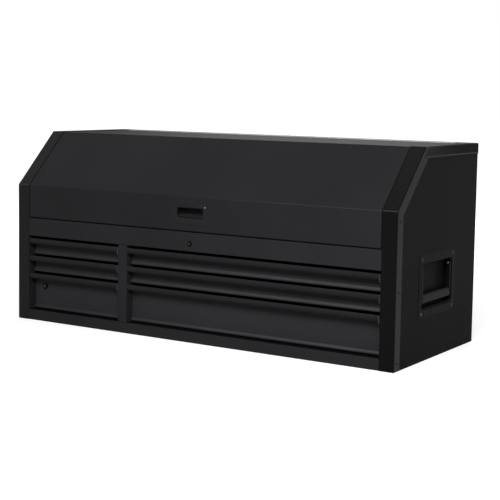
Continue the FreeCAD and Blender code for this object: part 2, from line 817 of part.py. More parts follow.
def save_case():
    save("bottom_panel", bottom_panel())
    save("back_panel", back_panel())
    save_pair("side_panel", side_panel())
    save_pair("inner_wall", inner_wall())
    save_pair("corner_post", corner_post())
    save_pair("top_rail", top_rail())
    save("rear_header", rear_header())
    save("till_floor", till_floor())
    save("lock_rail", lock_rail())
    save("bottom_rail", bottom_rail())
    save("mullion", mullion())
    save("partition_walls", partition())
    save("slide_outer_members", slide_outer_members())
    save("hinge_case_leaf", hinge_case_leaf())
    save("hinge_pin", hinge_pin())
    save_pair("handle_cup", handle_cup())
    save("handle_screws", handle_screws())
    stud = pivot_stud(wall_face, case_pivot_y, case_pivot_z)
    save("strut_case_studs", Part.makeCompound([stud, mirrored(stud)]))
    save("fascia_lock_barrel", lock_barrel(fascia_lock_x, fascia_lock_z, face_y, lock_flange))


def save_moving_small():
    """Bails, locks' turning pieces and struts."""
    save_pair("side_bail", side_bail())
    save("fascia_lock_plug", lock_plug(fascia_lock_x, fascia_lock_z, face_y, lock_flange))
    save("fascia_lock_cam", lock_cam(fascia_lock_x, fascia_lock_z, face_y))
    save_pair("strut_cylinder", strut_cylinder())
    save_pair("strut_rod", strut_rod())


def save_lid():
    save("lid_shell", lid_shell())
    save("lid_pull", lid_pull())
    save("hinge_lid_leaf", hinge_lid_leaf())
    stud = pivot_stud(lid_half - case_sheet, lid_pivot_y, lid_pivot_z)
    save("strut_lid_studs", Part.makeCompound([stud, mirrored(stud)]))


def save_drawers():
    for bank in banks:
        for row, row_name in enumerate(row_names):
            name = bank + "_" + row_name + "_drawer_"
            face = drawer_front(bank, row)
            if (bank, row) == ("left", 0):
                face = face.cut(lock_hole(drawer_lock_x, drawer_lock_z, panel_y))
            save(name + "front", face)
            save(name + "tray", drawer_tray(bank, row))
            save(name + "slides", drawer_slides(bank, row))
    place = (drawer_lock_x, drawer_lock_z, panel_y)
    save("drawer_lock_barrel", lock_barrel(*place, drawer_lock_flange))
    save("drawer_lock_plug", lock_plug(*place, drawer_lock_flange))
    save("drawer_lock_cam", lock_cam(*place))


os.makedirs("parts", exist_ok=True)
save_case()
save_moving_small()
save_lid()
save_drawers()
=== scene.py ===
import json
import math

import bmesh
import bpy
from mathutils import Matrix, Vector


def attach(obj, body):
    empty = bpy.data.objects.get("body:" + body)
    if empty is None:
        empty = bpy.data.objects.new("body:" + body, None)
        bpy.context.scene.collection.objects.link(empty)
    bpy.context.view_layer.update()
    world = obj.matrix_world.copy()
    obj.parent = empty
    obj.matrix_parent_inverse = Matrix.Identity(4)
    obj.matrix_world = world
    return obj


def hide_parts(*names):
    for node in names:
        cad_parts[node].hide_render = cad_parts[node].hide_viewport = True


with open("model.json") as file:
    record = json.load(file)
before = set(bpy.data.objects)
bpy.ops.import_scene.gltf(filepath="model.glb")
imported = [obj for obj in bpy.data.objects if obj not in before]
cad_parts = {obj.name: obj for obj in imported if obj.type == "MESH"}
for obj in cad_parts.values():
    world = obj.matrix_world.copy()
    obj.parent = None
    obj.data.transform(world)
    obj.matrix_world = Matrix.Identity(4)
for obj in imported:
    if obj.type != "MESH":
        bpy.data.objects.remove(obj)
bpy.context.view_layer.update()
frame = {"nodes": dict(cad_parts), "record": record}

# Lengths below are in millimetres and are turned into metres when a mesh is made.
MM = 0.001

# Main sizes of the chest, the same as in the CAD source
WIDTH = 1422.0
DEPTH = 569.0
HEIGHT = 635.0
BEND_Z = 459.0
RIDGE_SETBACK = 176.0
FRONT = -DEPTH / 2
BACK = DEPTH / 2
RIDGE_Y = FRONT + RIDGE_SETBACK
HALF = WIDTH / 2
POST_SHEET = 1.5
POST_FACE = 48.0
POST_FLANGE = 37.5
POST_RETURN = 14.0
POST_FOOT = 3.0
OPENING = HALF - POST_FACE
SIDE_OUTER = HALF - POST_SHEET
FACE_Y = FRONT + POST_SHEET
CASE_SHEET = 1.2
TOP_BAND = 35.0
LID_BOTTOM = 350.0
ROWS = ("bottom", "middle", "top")
ROW_EDGES = (41.0, 166.0, 225.5, 285.0)
BANKS = {"left": (-663.0, -281.0), "right": (-247.0, 663.0)}
SIDES = ((1, "right"), (-1, "left"))
# Keeps a division by a sine or cosine finite
TINY = 1e-6


# Meshes

# Corners nearer than this become one; edges turned by more than these are rounded, or shaded as sharp
WELD_WITHIN = 0.001
BEVEL_OVER = math.radians(30)
SHARP_OVER = math.radians(50)


def finished(bm, name, material, body, bevel=0.0, segments=2, replaces=()):
    """Makes an object from a bmesh in millimetres, with rounded edges, and lets it ride on a body."""
    bmesh.ops.remove_doubles(bm, verts=bm.verts, dist=WELD_WITHIN)
    bmesh.ops.recalc_face_normals(bm, faces=bm.faces)
    if bevel:
        edges = [e for e in bm.edges if len(e.link_faces) == 2 and e.calc_face_angle(0) > BEVEL_OVER]
        bmesh.ops.bevel(bm, geom=edges, offset=bevel, segments=segments, profile=0.5, affect="EDGES",
                        clamp_overlap=True)
    bmesh.ops.scale(bm, vec=(MM, MM, MM), verts=bm.verts)
    mesh = bpy.data.meshes.new(name)
    bm.to_mesh(mesh)
    bm.free()
    for polygon in mesh.polygons:
        polygon.use_smooth = True
    mesh.set_sharp_from_angle(angle=SHARP_OVER)
    piece = bpy.data.objects.new(name, mesh)
    bpy.context.scene.collection.objects.link(piece)
    mesh.materials.append(material)
    weighted = piece.modifiers.new("Even shading", "WEIGHTED_NORMAL")
    weighted.keep_sharp = True
    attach(piece, body)
    if replaces:
        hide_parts(*replaces)
    return piece


def accent(piece, material, test):
    """Gives a second material to the faces whose normal passes a test."""
    piece.data.materials.append(material)
    for polygon in piece.data.polygons:
        if test(polygon.normal):
            polygon.material_index = 1


def add_loft(bm, rings, closed_ends=True):
    """Closed rings of points, joined one to the next."""
    made = [[bm.verts.new(p) for p in ring] for ring in rings]
    count = len(made[0])
    for a, b in zip(made, made[1:]):
        for i in range(count):
            j = (i + 1) % count
            bm.faces.new((a[i], a[j], b[j], b[i]))
    if closed_ends:
        bm.faces.new(made[0][::-1])
        bm.faces.new(made[-1])


PLANES = {
    "YZ": lambda a, b, level: (level, a, b),
    "XZ": lambda a, b, level: (a, level, b),
    "XY": lambda a, b, level: (a, b, level),
}


def add_rings(bm, plane, levels, closed_ends=True):
    """Loft through (level, outline) pairs that are drawn in the XY, XZ or YZ plane."""
    put = PLANES[plane]
    add_loft(bm, [[put(a, b, level) for a, b in ring] for level, ring in levels], closed_ends)


def add_prism(bm, plane, outline, low, high):
    """Prism of an outline between two levels."""
    add_rings(bm, plane, [(low, outline), (high, outline)])


def add_box(bm, x, y, z):
    """Box between three pairs of limits."""
    add_prism(bm, "XY", [(x[0], y[0]), (x[1], y[0]), (x[1], y[1]), (x[0], y[1])], *z)


def ring_about(start, direction, along, radii):
    """Points evenly round a line, at a distance along it, with a radius for each point."""
    axis = Vector(direction).normalized()
    side = axis.orthogonal().normalized()
    other = axis.cross(side)
    centre = Vector(start) + axis * along
    ring = []
    for i, radius in enumerate(radii):
        turn = 2 * math.pi * i / len(radii)
        ring.append(centre + (side * math.cos(turn) + other * math.sin(turn)) * radius)
    return ring


def add_turned(bm, start, direction, profile, steps=32, closed_ends=True):
    """Turned shape about a line: profile is (distance along the line, radius)."""
    rings = [ring_about(start, direction, along, [radius] * steps) for along, radius in profile]
    add_loft(bm, rings, closed_ends)


def arc(centre, radius, start, end, steps):
    """Points on an arc, with its angles in degrees."""
    points = []
    for i in range(steps + 1):
        turn = math.radians(start + (end - start) * i / steps)
        points.append((centre[0] + radius * math.cos(turn), centre[1] + radius * math.sin(turn)))
    return points


def sideways(path, distance):
    """An open path moved to its right by a distance, with mitred corners."""
    turns = []
    for (a0, b0), (a1, b1) in zip(path, path[1:]):
        run = math.hypot(a1 - a0, b1 - b0)
        turns.append(((b1 - b0) / run, (a0 - a1) / run))
    moved = []
    for i, (a, b) in enumerate(path):
        before = turns[max(i - 1, 0)]
        after = turns[min(i, len(turns) - 1)]
        share = distance / (1 + before[0] * after[0] + before[1] * after[1])
        moved.append((a + share * (before[0] + after[0]), b + share * (before[1] + after[1])))
    return moved


def rounded(path, radii, steps):
    """An open path with an arc of steps at each inner corner."""
    points = [path[0]]
    for i in range(1, len(path) - 1):
        corner = Vector(path[i])
        into = (corner - Vector(path[i - 1])).normalized()
        out = (Vector(path[i + 1]) - corner).normalized()
        half = into.angle(out) / 2
        radius = radii[i - 1]
        reach = radius * math.tan(half)
        first = corner - into * reach
        last = corner + out * reach
        middle = corner + (out - into).normalized() * radius / math.cos(half)
        spoke_a = first - middle
        spoke_b = last - middle
        for k in range(steps + 1):
            share = k / steps
            total = spoke_a.angle(spoke_b)
            weight_a = math.sin((1 - share) * total) / math.sin(total)
            weight_b = math.sin(share * total) / math.sin(total)
            points.append(tuple(middle + spoke_a * weight_a + spoke_b * weight_b))
    points.append(path[-1])
    return points


def folded(path, sheet, bends, steps):
    """Closed outline of a folded sheet: one face follows a path and the metal is to its right."""
    inner_path = sideways(path, sheet)
    near = []
    far = []
    for i, inside in enumerate(bends):
        (a0, b0), (a1, b1), (a2, b2) = path[i:i + 3]
        turns_left = (a1 - a0) * (b2 - b1) - (b1 - b0) * (a2 - a1) > 0
        near.append(inside if turns_left else inside + sheet)
        far.append(inside + sheet if turns_left else inside)
    return rounded(path, near, steps) + rounded(inner_path[::-1], far[::-1], steps)


# Materials

class Nodes:
    """Short calls for building one material's nodes."""

    def __init__(self, name):
        self.material = bpy.data.materials.new(name)
        self.material.use_nodes = True
        self.tree = self.material.node_tree
        self.shader = self.tree.nodes["Principled BSDF"]
        spots = self.tree.nodes.new("ShaderNodeTexCoord")
        self.place = spots.outputs["Object"]
        self.facing = spots.outputs["Normal"]

    def link(self, a, b):
        self.tree.links.new(a, b)

    def noise(self, scale, detail, rough=0.5, stretch=(1, 1, 1)):
        mapping = self.tree.nodes.new("ShaderNodeMapping")
        mapping.inputs["Scale"].default_value = stretch
        self.link(self.place, mapping.inputs["Vector"])
        node = self.tree.nodes.new("ShaderNodeTexNoise")
        node.inputs["Scale"].default_value = scale
        node.inputs["Detail"].default_value = detail
        node.inputs["Roughness"].default_value = rough
        self.link(mapping.outputs["Vector"], node.inputs["Vector"])
        return node.outputs["Fac"]

    def range(self, value, low, high, from_low=0.3, from_high=0.7):
        node = self.tree.nodes.new("ShaderNodeMapRange")
        node.inputs["From Min"].default_value = from_low
        node.inputs["From Max"].default_value = from_high
        node.inputs["To Min"].default_value = low
        node.inputs["To Max"].default_value = high
        self.link(value, node.inputs["Value"])
        return node.outputs["Result"]

    def mix(self, share, a, b):
        node = self.tree.nodes.new("ShaderNodeMix")
        node.data_type = "RGBA"
        for value, socket in ((a, node.inputs[6]), (b, node.inputs[7])):
            if isinstance(value, tuple):
                socket.default_value = (*value, 1)
            else:
                self.link(value, socket)
        self.link(share, node.inputs[0])
        return node.outputs[2]

    def axis(self, vector, name):
        node = self.tree.nodes.new("ShaderNodeSeparateXYZ")
        self.link(vector, node.inputs[0])
        return node.outputs[name]

    def over(self, axis, low, high, start, end):
        """Number that runs from low to high as a coordinate of the place runs from start to end."""
        return self.range(self.axis(self.place, axis), low, high, start, end)

    def turned(self, axis, low, high, start, end):
        """The same for a component of the direction that the surface faces."""
        return self.range(self.axis(self.facing, axis), low, high, start, end)

    def between(self, share, a, b):
        """Number that runs from one number or socket to another with a share."""
        node = self.tree.nodes.new("ShaderNodeMix")
        for value, socket in ((share, node.inputs[0]), (a, node.inputs[2]), (b, node.inputs[3])):
            if isinstance(value, (int, float)):
                socket.default_value = value
            else:
                self.link(value, socket)
        return node.outputs[0]

    def strengthen(self, colour, factor):
        node = self.tree.nodes.new("ShaderNodeVectorMath")
        node.operation = "SCALE"
        self.link(colour, node.inputs[0])
        self.link(factor, node.inputs["Scale"])
        return node.outputs[0]

    def bump(self, height, strength, distance):
        node = self.tree.nodes.new("ShaderNodeBump")
        node.inputs["Strength"].default_value = strength
        node.inputs["Distance"].default_value = distance
        self.link(height, node.inputs["Height"])
        return node.outputs["Normal"]


def scaled(colour, share):
    return tuple(c * share for c in colour)


DULL_ROUGHNESS = 0.67


def powder_coat(name, colour, rough, level, peel=0.10, painted_light=None, dull=None):
    """Baked powder coat: fine orange peel, slow tone variation and uneven gloss.

    Its reflection level is a number or a function. Two optional functions give its painted light and shade,
    as a factor on its colour, and its share of dullness over the surface.
    """
    n = Nodes(name)
    slow = n.noise(2.6, 2.0)
    fine = n.noise(1400.0, 2.0, 0.6)
    speck = n.noise(5200.0, 1.0)
    tone = n.mix(n.range(slow, 0.0, 1.0), scaled(colour, 0.9), scaled(colour, 1.1))
    tone = n.mix(n.range(speck, 0.0, 0.35, 0.55, 0.75), tone, scaled(colour, 1.6))
    if painted_light:
        tone = n.strengthen(tone, painted_light(n))
    n.link(tone, n.shader.inputs["Base Color"])
    gloss = n.range(n.noise(38.0, 3.0), rough - 0.03, rough + 0.03)
    if dull:
        gloss = n.between(dull(n), gloss, DULL_ROUGHNESS)
    n.link(gloss, n.shader.inputs["Roughness"])
    if callable(level):
        n.link(level(n), n.shader.inputs["Specular IOR Level"])
    else:
        n.shader.inputs["Specular IOR Level"].default_value = level
    n.link(n.bump(fine, peel, 0.0004), n.shader.inputs["Normal"])
    return n.material


# Plating without a grain
EVEN = (1, 1, 1)


def plated(name, colour, rough, streaks=(1, 1, 30), scale=60.0, depth=0.03, painted_light=None):
    """Bright metal with fine streaks and cloudy plating."""
    n = Nodes(name)
    cloud = n.noise(55.0, 3.0)
    streak = n.noise(scale, 3.0, 0.6, streaks)
    tone = n.mix(n.range(cloud, 0.0, 1.0), scaled(colour, 0.86), colour)
    if painted_light:
        tone = n.strengthen(tone, painted_light(n))
    n.link(tone, n.shader.inputs["Base Color"])
    n.shader.inputs["Metallic"].default_value = 1.0
    n.link(n.range(streak, rough - 0.05, rough + 0.08), n.shader.inputs["Roughness"])
    n.link(n.bump(streak, depth, 0.0003), n.shader.inputs["Normal"])
    return n.material


def moulded(name, colour, rough, level, grain=900.0, painted_light=None):
    """Moulded plastic or rubber with a fine spark-eroded grain."""
    n = Nodes(name)
    slow = n.noise(6.0, 2.0)
    fine = n.noise(grain, 4.0, 0.7)
    tone = n.mix(n.range(slow, 0.0, 1.0), scaled(colour, 0.85), scaled(colour, 1.12))
    if painted_light:
        tone = n.strengthen(tone, painted_light(n))
    n.link(tone, n.shader.inputs["Base Color"])
    n.link(n.range(fine, rough - 0.05, rough + 0.05), n.shader.inputs["Roughness"])
    n.shader.inputs["Specular IOR Level"].default_value = level
    n.link(n.bump(fine, 0.18, 0.0003), n.shader.inputs["Normal"])
    return n.material


# Painted light and shade over the surface: ramps along a coordinate in metres, or along the direction that a
# face turns to

# Painted light on the back and the left side, which lie in open shade: colour raised by SHADED_TONE, gloss to
# SHADED_SHEEN
SHADED_TONE = 1.5
SHADED_SHEEN = 0.16


def rail_painted_shade(n):
    """Painted shade: darker on surfaces that face up, where little light reaches."""
    return n.turned("Z", 1.0, 0.15, 0.5, 0.9)


def drawer_painted_light(n):
    """Painted light and shade: lips evenly dark, hollows and panels lighter, the turned foot lightest as a
    highlight.
    """
    # Lips and panels painted darker, and the foot brighter, towards the right.
    lip = n.over("X", 0.98, 0.77, -0.6, 0.6)
    panel = n.over("X", 1.45, 1.17, -0.6, 0.6)
    foot = n.over("X", 1.5, 2.3, -0.6, 0.6)
    behind_lip = n.between(n.turned("Z", 0.0, 1.0, 0.3, 0.65), panel, foot)
    return n.between(n.over("Y", 0.0, 1.0, -0.2815, -0.273), lip, behind_lip)


def up_share(n):
    return n.turned("Z", 0.0, 1.0, 0.8, 0.95)


def lid_painted_light(n):
    """Painted light and shade: a plain front, a slope darker to the right, a painted highlight on the bend's
    right half and a dark top.
    """
    tone = n.between(n.turned("Z", 0.0, 1.0, 0.2, 0.6), 0.9, n.over("X", 0.97, 0.79, -0.6, 0.6))
    bend = n.between(n.turned("Z", 0.0, 1.0, 0.04, 0.15), 0.0, n.turned("Z", 1.0, 0.0, 0.56, 0.67))
    painted_gleam = n.between(n.over("X", 0.0, 1.0, 0.05, 0.3), 0.0, bend)
    return n.between(up_share(n), n.between(painted_gleam, tone, 1.45), 0.3)


def left_share(n):
    return n.turned("X", 1.0, 0.0, -0.8, -0.4)


def shaded_share(n):
    """The back and the left side, which lie in open shade."""
    return n.between(left_share(n), n.turned("Y", 0.0, 1.0, 0.4, 0.8), 1.0)


# Painted sheen: more gloss on the back and the left side.
def body_painted_sheen(n):
    return n.between(shaded_share(n), 0.006, SHADED_SHEEN)


# Painted light: the back and the left side painted lighter.
def body_painted_light(n):
    return n.between(shaded_share(n), 1.0, SHADED_TONE)


# Painted light on the back and the left side; elsewhere painted shade darkens the sides towards the bottom.
def side_painted_light(n):
    return n.between(shaded_share(n), n.over("Z", 0.74, 1.04, 0.05, 0.6), SHADED_TONE)


# Painted light: the band brighter towards the front, and on the back and the left side.
def band_painted_light(n):
    return n.between(shaded_share(n), n.over("Y", 2.1, 0.93, -0.11, 0.13), SHADED_TONE)


def cup_painted_light(n):
    """Painted shade on the far wall, a painted shadow line along the bezel's front edge, and painted light on
    the left-hand cup.
    """
    wall = n.turned("Y", 0.35, 1.0, -0.9, -0.4)
    edge = n.over("Y", 0.45, 1.0, -0.1275, -0.1225)
    tone = n.between(n.over("Y", 0.0, 1.0, -0.115, -0.112), edge, wall)
    return n.between(left_share(n), tone, 1.6)


# Painted shade: gloss taken off faces turned to the back; painted sheen on the left-hand cup.
def cup_painted_sheen(n):
    return n.between(left_share(n), n.turned("Y", 0.008, 0.0, 0.1, 0.4), SHADED_SHEEN)


def pull_painted_shade(n):
    """Painted shade on the upper part of the lid handle's pocket and along its bottom edge."""
    low = n.over("Z", 0.5, 0.95, 0.3925, 0.3945)
    pocket = n.between(n.over("Z", 0.0, 1.0, 0.3995, 0.403), low, 0.42)
    return n.between(n.over("Y", 0.0, 1.0, -0.2825, -0.2795), 1.0, pocket)


def handle_painted_shade(n):
    """Painted shade: dark arms, which stand in the pocket's shade."""
    return n.turned("Y", 0.45, 1.0, -0.9, -0.4)


def corner_share(n):
    """The left post's outer corner, turned away from the light."""
    return n.between(n.turned("Y", 1.0, 0.0, -0.25, -0.08), 0.0, n.over("X", 1.0, 0.0, -0.7102, -0.7062))


# Painted shade: the corner painted dark.
def corner_painted_shade(n):
    return n.between(corner_share(n), 1.0, 0.2)


# Painted shade: the corner's gloss taken away.
def corner_painted_sheen(n):
    return n.between(corner_share(n), 0.05, 0.0)


def lock_painted_light(x):
    """Painted light and shade: a lock at an X, lit on its left and in shade on its right."""
    return lambda n: n.over("X", 1.5, 0.1, x - 0.004, x + 0.002)


def screw_painted_glint(n):
    """Painted glint: blacked screws, with the low front one painted bright."""
    node = n.tree.nodes.new("ShaderNodeVectorMath")
    node.operation = "DOT_PRODUCT"
    n.link(n.place, node.inputs[0])
    node.inputs[1].default_value = (0, -1, -1)
    return n.range(node.outputs["Value"], 0.03, 0.55, -0.15, -0.08)


BLACK = (0.0215, 0.0215, 0.0232)
# Painted shade: the body, sides and band painted darker than the front.
SIDE_SHADED_BLACK = scaled(BLACK, 0.8)
paint_front = powder_coat("front_paint", BLACK, 0.44, 0.012)
paint_rail = powder_coat("rail_paint", BLACK, 0.44, 0.012, painted_light=rail_painted_shade)
paint_drawer = powder_coat("drawer_paint", BLACK, 0.44, 0.012, painted_light=drawer_painted_light)
paint_lid = powder_coat("lid_paint", BLACK, 0.44, 0.012, painted_light=lid_painted_light, dull=up_share)
paint_body = powder_coat("body_paint", SIDE_SHADED_BLACK, 0.46, body_painted_sheen, painted_light=body_painted_light)
paint_side = powder_coat("side_paint", SIDE_SHADED_BLACK, 0.46, body_painted_sheen, painted_light=side_painted_light)
paint_band = powder_coat("band_paint", SIDE_SHADED_BLACK, 0.46, body_painted_sheen, painted_light=band_painted_light, dull=up_share)
paint_post = powder_coat("post_paint", scaled(BLACK, 0.12), 0.28, 0.048, peel=0.05)
# The left post's copy of the post paint is painted lighter, as painted light.
paint_post_left_lit = powder_coat("post_paint_left_painted_light", scaled(BLACK, 0.5), 0.28, corner_painted_sheen, peel=0.05,
                              painted_light=corner_painted_shade)
# Lighter paint on the posts' bends, as a painted highlight.
paint_bend_highlight = powder_coat("bend_painted_highlight", scaled(BLACK, 1.5), 0.3, 0.06, peel=0.04)
# Pull ends: the right ones glossier, as a painted highlight, and the left ones darker, as painted shade.
paint_end_highlight = powder_coat("pull_end_painted_highlight", scaled(BLACK, 0.9), 0.3, 0.3, peel=0.05)
paint_end_shade = powder_coat("pull_end_painted_shade", scaled(BLACK, 0.45), 0.45, 0.01)
paint_inside = powder_coat("inside_paint", scaled(BLACK, 0.85), 0.5, 0.1)
paint_handle = powder_coat("handle_paint", scaled(BLACK, 0.6), 0.36, 0.02, painted_light=handle_painted_shade)
paint_cup = powder_coat("cup_paint", scaled(BLACK, 0.68), 0.42, cup_painted_sheen, painted_light=cup_painted_light)
# Near-black paint: painted shadow in the lid's seams, also used on the posts' screws.
paint_shadow = powder_coat("seam_painted_shadow", scaled(BLACK, 0.05), 0.8, 0.0)
enamel_strut = powder_coat("strut_enamel", (0.012, 0.012, 0.013), 0.2, 0.45, peel=0.02)
plastic_pull = moulded("pull_plastic", (0.021, 0.021, 0.0228), 0.42, 0.012, painted_light=pull_painted_shade)
rubber = moulded("liner_rubber", (0.02, 0.02, 0.021), 0.75, 0.15, 500.0)
nylon = moulded("strut_nylon", (0.018, 0.018, 0.019), 0.45, 0.35)
zinc = plated("zinc_plate", (0.36, 0.37, 0.39), 0.34)
chrome = plated("lock_chrome_plate", (0.05, 0.05, 0.053), 0.2, EVEN, 300.0, 0.01)
chrome_fascia = plated("fascia_lock_plate", (0.045, 0.045, 0.048), 0.2, EVEN, 300.0, 0.01, lock_painted_light(0.0))
chrome_drawer = plated("drawer_lock_plate", (0.048, 0.048, 0.051), 0.2, EVEN, 300.0, 0.01,
                       lock_painted_light(-0.617))
chrome_dark = plated("lock_rim_plate", (0.006, 0.006, 0.0065), 0.25, EVEN, 300.0, 0.01)
rod_chrome = plated("rod_chrome_plate", (0.70, 0.70, 0.72), 0.08, EVEN, 400.0, 0.005)
screw_steel = plated("screw_plate", (0.09, 0.09, 0.095), 0.30, EVEN, 250.0, 0.02, screw_painted_glint)
pin_steel = plated("pin_plate", (0.34, 0.34, 0.35), 0.25, EVEN, 250.0, 0.02)
slot_paint = {
    "body_black": paint_body, "front_black": paint_front, "inside_black": paint_inside,
    "handle_black": paint_handle, "pull_black": plastic_pull, "screw_steel": screw_steel,
    "lock_chrome": chrome, "rod_chrome": rod_chrome, "strut_black": enamel_strut, "zinc_steel": zinc,
}


# Stage, light and camera

def make_camera():
    """The photograph's own camera: its place, its direction with a slight roll, and its shifted framing."""
    azimuth, elevation, roll = (math.radians(a) for a in (32.43686, 5.58446, 0.92023))
    forward = Vector((-math.sin(azimuth) * math.cos(elevation), math.cos(azimuth) * math.cos(elevation),
                      -math.sin(elevation)))
    level_right = forward.cross(Vector((0, 0, 1))).normalized()
    level_up = level_right.cross(forward)
    right = level_right * math.cos(roll) + level_up * math.sin(roll)
    up = level_up * math.cos(roll) - level_right * math.sin(roll)
    data = bpy.data.cameras.new("photo_camera")
    data.sensor_width = 36.0
    data.lens = 90.5436
    data.shift_y = -0.078
    data.clip_start = 0.05
    data.clip_end = 200.0
    camera = bpy.data.objects.new("photo_camera", data)
    bpy.context.scene.collection.objects.link(camera)
    turn = Matrix((right, up, -forward)).transposed().to_4x4()
    camera.matrix_world = Matrix.Translation((2.23565, -3.45285, 0.79584)) @ turn
    bpy.context.scene.camera = camera


def white_share(tree):
    """1 for the rays of the camera and of gloss, which see the room as white, and 0 for the others."""
    path = tree.nodes.new("ShaderNodeLightPath")
    seen = tree.nodes.new("ShaderNodeMath")
    seen.operation = "MAXIMUM"
    tree.links.new(path.outputs["Is Camera Ray"], seen.inputs[0])
    tree.links.new(path.outputs["Is Glossy Ray"], seen.inputs[1])
    return seen.outputs[0]


def make_floor():
    """Pale floor that keeps the chest's shadow and reads as white to the camera and in gloss."""
    bm = bmesh.new()
    bmesh.ops.create_grid(bm, x_segments=4, y_segments=4, size=30.0)
    mesh = bpy.data.meshes.new("floor")
    bm.to_mesh(mesh)
    bm.free()
    floor = bpy.data.objects.new("floor", mesh)
    bpy.context.scene.collection.objects.link(floor)
    floor.location = (0, 0, -0.0005)
    n = Nodes("floor_paint")
    n.shader.inputs["Base Color"].default_value = (0.6, 0.6, 0.6, 1)
    n.shader.inputs["Roughness"].default_value = 0.9
    n.shader.inputs["Specular IOR Level"].default_value = 0.0
    glow = n.tree.nodes.new("ShaderNodeEmission")
    glow.inputs["Color"].default_value = (1, 1, 1, 1)
    away = n.tree.nodes.new("ShaderNodeVectorMath")
    away.operation = "LENGTH"
    n.link(n.place, away.inputs[0])
    strength = n.tree.nodes.new("ShaderNodeMath")
    strength.operation = "MULTIPLY"
    n.link(white_share(n.tree), strength.inputs[0])
    n.link(n.range(away.outputs["Value"], 0.62, 0.97, 0.9, 3.0), strength.inputs[1])
    n.link(strength.outputs[0], glow.inputs["Strength"])
    add = n.tree.nodes.new("ShaderNodeAddShader")
    n.link(n.shader.outputs[0], add.inputs[0])
    n.link(glow.outputs[0], add.inputs[1])
    n.link(add.outputs[0], n.tree.nodes["Material Output"].inputs["Surface"])
    mesh.materials.append(n.material)


def make_world():
    """Dim grey room that the camera and gloss see as white."""
    world = bpy.data.worlds.new("studio")
    bpy.context.scene.world = world
    world.use_nodes = True
    tree = world.node_tree
    back = tree.nodes["Background"]
    back.inputs["Color"].default_value = (1, 1, 1, 1)
    level = tree.nodes.new("ShaderNodeMapRange")
    level.inputs["To Min"].default_value = 0.22
    level.inputs["To Max"].default_value = 1.0
    tree.links.new(white_share(tree), level.inputs["Value"])
    tree.links.new(level.outputs["Result"], back.inputs["Strength"])


def make_lamp(name, place, aim, size, power):
    """Square soft light that looks at a point."""
    data = bpy.data.lights.new(name, "AREA")
    data.shape = "RECTANGLE"
    data.size, data.size_y = size
    data.energy = power
    lamp = bpy.data.objects.new(name, data)
    bpy.context.scene.collection.objects.link(lamp)
    lamp.location = place
    lamp.rotation_euler = (Vector(aim) - Vector(place)).to_track_quat("-Z", "Y").to_euler()


make_camera()
make_floor()
make_world()
make_lamp("key", (1.1, -2.25, 2.0), (0.1, -0.28, 0.25), (1.3, 1.1), 76.0)
make_lamp("overhead", (0.2, 0.2, 3.0), (0.1, 0, 0.3), (2.6, 2.0), 14.0)
make_lamp("rear_fill", (-1.6, 3.8, 2.2), (0, 0, 0.3), (2.6, 2.0), 85.0)
bpy.context.scene.view_settings.view_transform = "Standard"


# Every CAD node gets its slot's material, and folded sheets and trays get softened edges

def soften(node, width):
    """Rounds a CAD node's edges with modifiers; its own mesh stays as it is."""
    piece = frame["nodes"][node]
    weld = piece.modifiers.new("Join corners", "WELD")
    weld.merge_threshold = 0.00002
    flat = piece.modifiers.new("Whole faces", "DECIMATE")
    flat.decimate_type = "DISSOLVE"
    flat.angle_limit = math.radians(0.5)
    round_off = piece.modifiers.new("Round edges", "BEVEL")
    round_off.width = width * MM
    round_off.segments = 2
    round_off.limit_method = "ANGLE"
    round_off.angle_limit = math.radians(35)
    round_off.use_clamp_overlap = True
    round_off.harden_normals = False
    shade = piece.modifiers.new("Even shading", "WEIGHTED_NORMAL")
    shade.keep_sharp = False


node_slot = {row["node"]: row["material_slot"] for row in frame["record"]["subparts"]}
for node, piece in frame["nodes"].items():
    piece.data.materials.clear()
    piece.data.materials.append(slot_paint[node_slot[node]])
    for polygon in piece.data.polygons:
        polygon.use_smooth = True
node_paint = {
    "bottom_rail": paint_rail, "lid_shell": paint_lid, "side_panel_left": paint_side,
    "side_panel_right": paint_side, "rear_header": paint_band,
}
for node, paint in node_paint.items():
    frame["nodes"][node].data.materials[0] = paint
trays = tuple(node for node in node_slot if node.endswith("_tray"))
for width, nodes in ((0.35, ("mullion", "bottom_rail", "lock_rail", "rear_header", "lid_shell")),
                     (0.2, ("till_floor", "back_panel", "bottom_panel")), (0.3, trays)):
    for node in nodes:
        soften(node, width)


# Shapes that stand for CAD nodes or sit on them

def rect_ring(a, b, radius, steps=5):
    """Rectangle with round corners as points, with the same count for any size."""
    spots = [(a[1] - radius, b[0] + radius, -90), (a[1] - radius, b[1] - radius, 0),
             (a[0] + radius, b[1] - radius, 90), (a[0] + radius, b[0] + radius, 180)]
    points = []
    for centre_a, centre_b, start in spots:
        points += arc((centre_a, centre_b), radius, start, start + 90, steps)
    return points


def grown(a, b, more):
    return (a[0] - more, a[1] + more), (b[0] - more, b[1] + more)


def to_side(bm, side):
    """Turns a right-hand shape into its left-hand one where the side is -1."""
    if side < 0:
        for v in bm.verts:
            v.co.x = -v.co.x


def outward(place):
    """Direction that a place on one of the chest's ends faces."""
    return math.copysign(1, place[0]), 0, 0


HEAD_STEPS = 32
HEAD_DOME = ((0.0, 0.97), (0.15, 1.0), (0.45, 0.97), (0.78, 0.86), (0.96, 0.66), (1.0, 0.5))
RECESS_FLOOR = 0.15


def cross_radii(radius, turn):
    """Radii round a screw's cross recess."""
    long, slim = 0.52 * radius, 0.13 * radius
    radii = []
    for i in range(HEAD_STEPS):
        angle = 2 * math.pi * i / HEAD_STEPS - turn
        c, s = max(abs(math.cos(angle)), TINY), max(abs(math.sin(angle)), TINY)
        radii.append(max(min(long / c, slim / s), min(slim / c, long / s)))
    return radii


